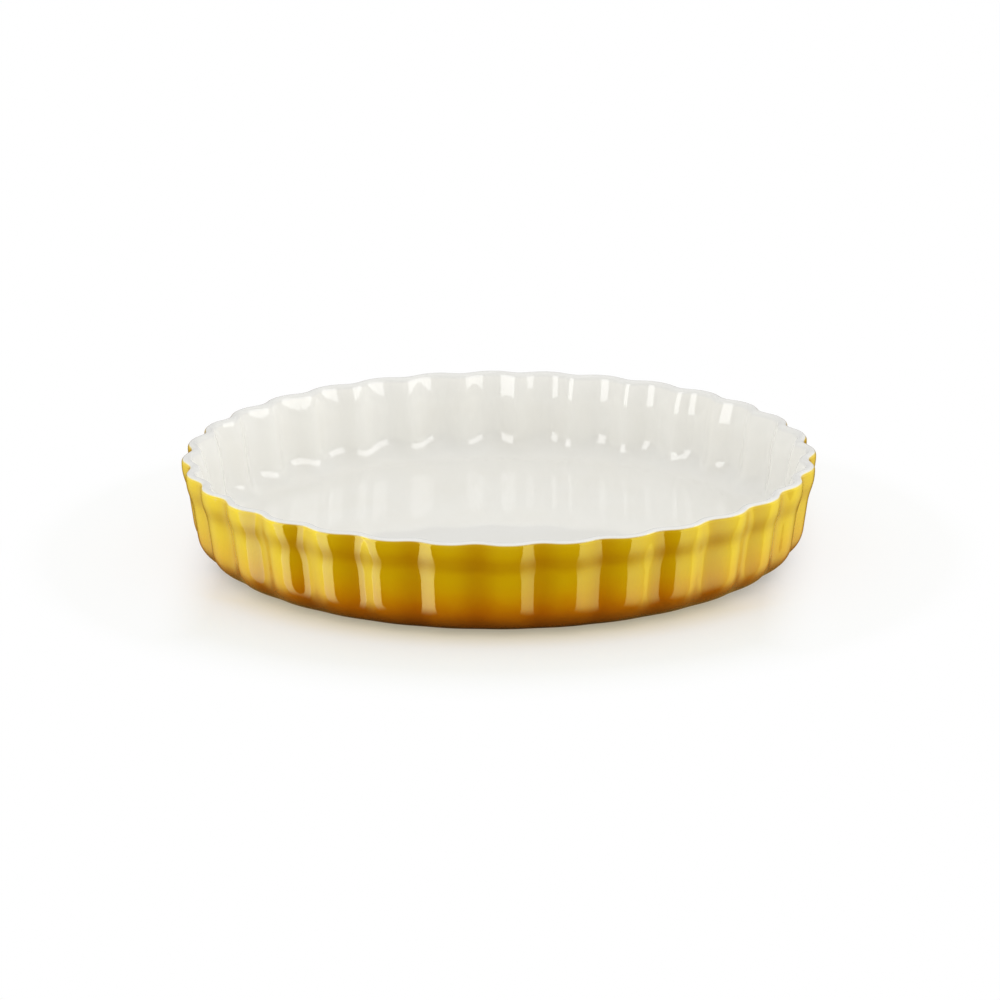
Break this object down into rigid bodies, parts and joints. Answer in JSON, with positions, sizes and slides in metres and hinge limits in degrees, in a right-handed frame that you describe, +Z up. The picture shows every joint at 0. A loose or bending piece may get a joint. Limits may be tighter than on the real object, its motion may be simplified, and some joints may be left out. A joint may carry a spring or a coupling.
{
  "type": "tart dish",
  "caption": "Round shallow stoneware tart dish with a fluted wall, yellow glaze shading to amber outside and white glaze inside, for baking and serving.",
  "frame": {"origin": "middle of the base, on the plane that the foot ring stands on", "axes": "+Z up along the axis of the dish, -Y the front, in line with a groove of the fluting"},
  "size_m": [0.2786, 0.2786, 0.044],
  "materials": {
    "bare_clay": "matt fired stoneware",
    "white_glaze": "gloss, warm white",
    "yellow_glaze": "gloss, yellow at the rim shading to amber and brown at the heel",
    "underside_glaze": "gloss, amber"
  },
  "bodies": {
    "root": {"stoneware_body": "bare_clay", "inside_glaze": "white_glaze", "outside_glaze": "yellow_glaze", "underside_glaze": "underside_glaze"}
  },
  "joints": []
}
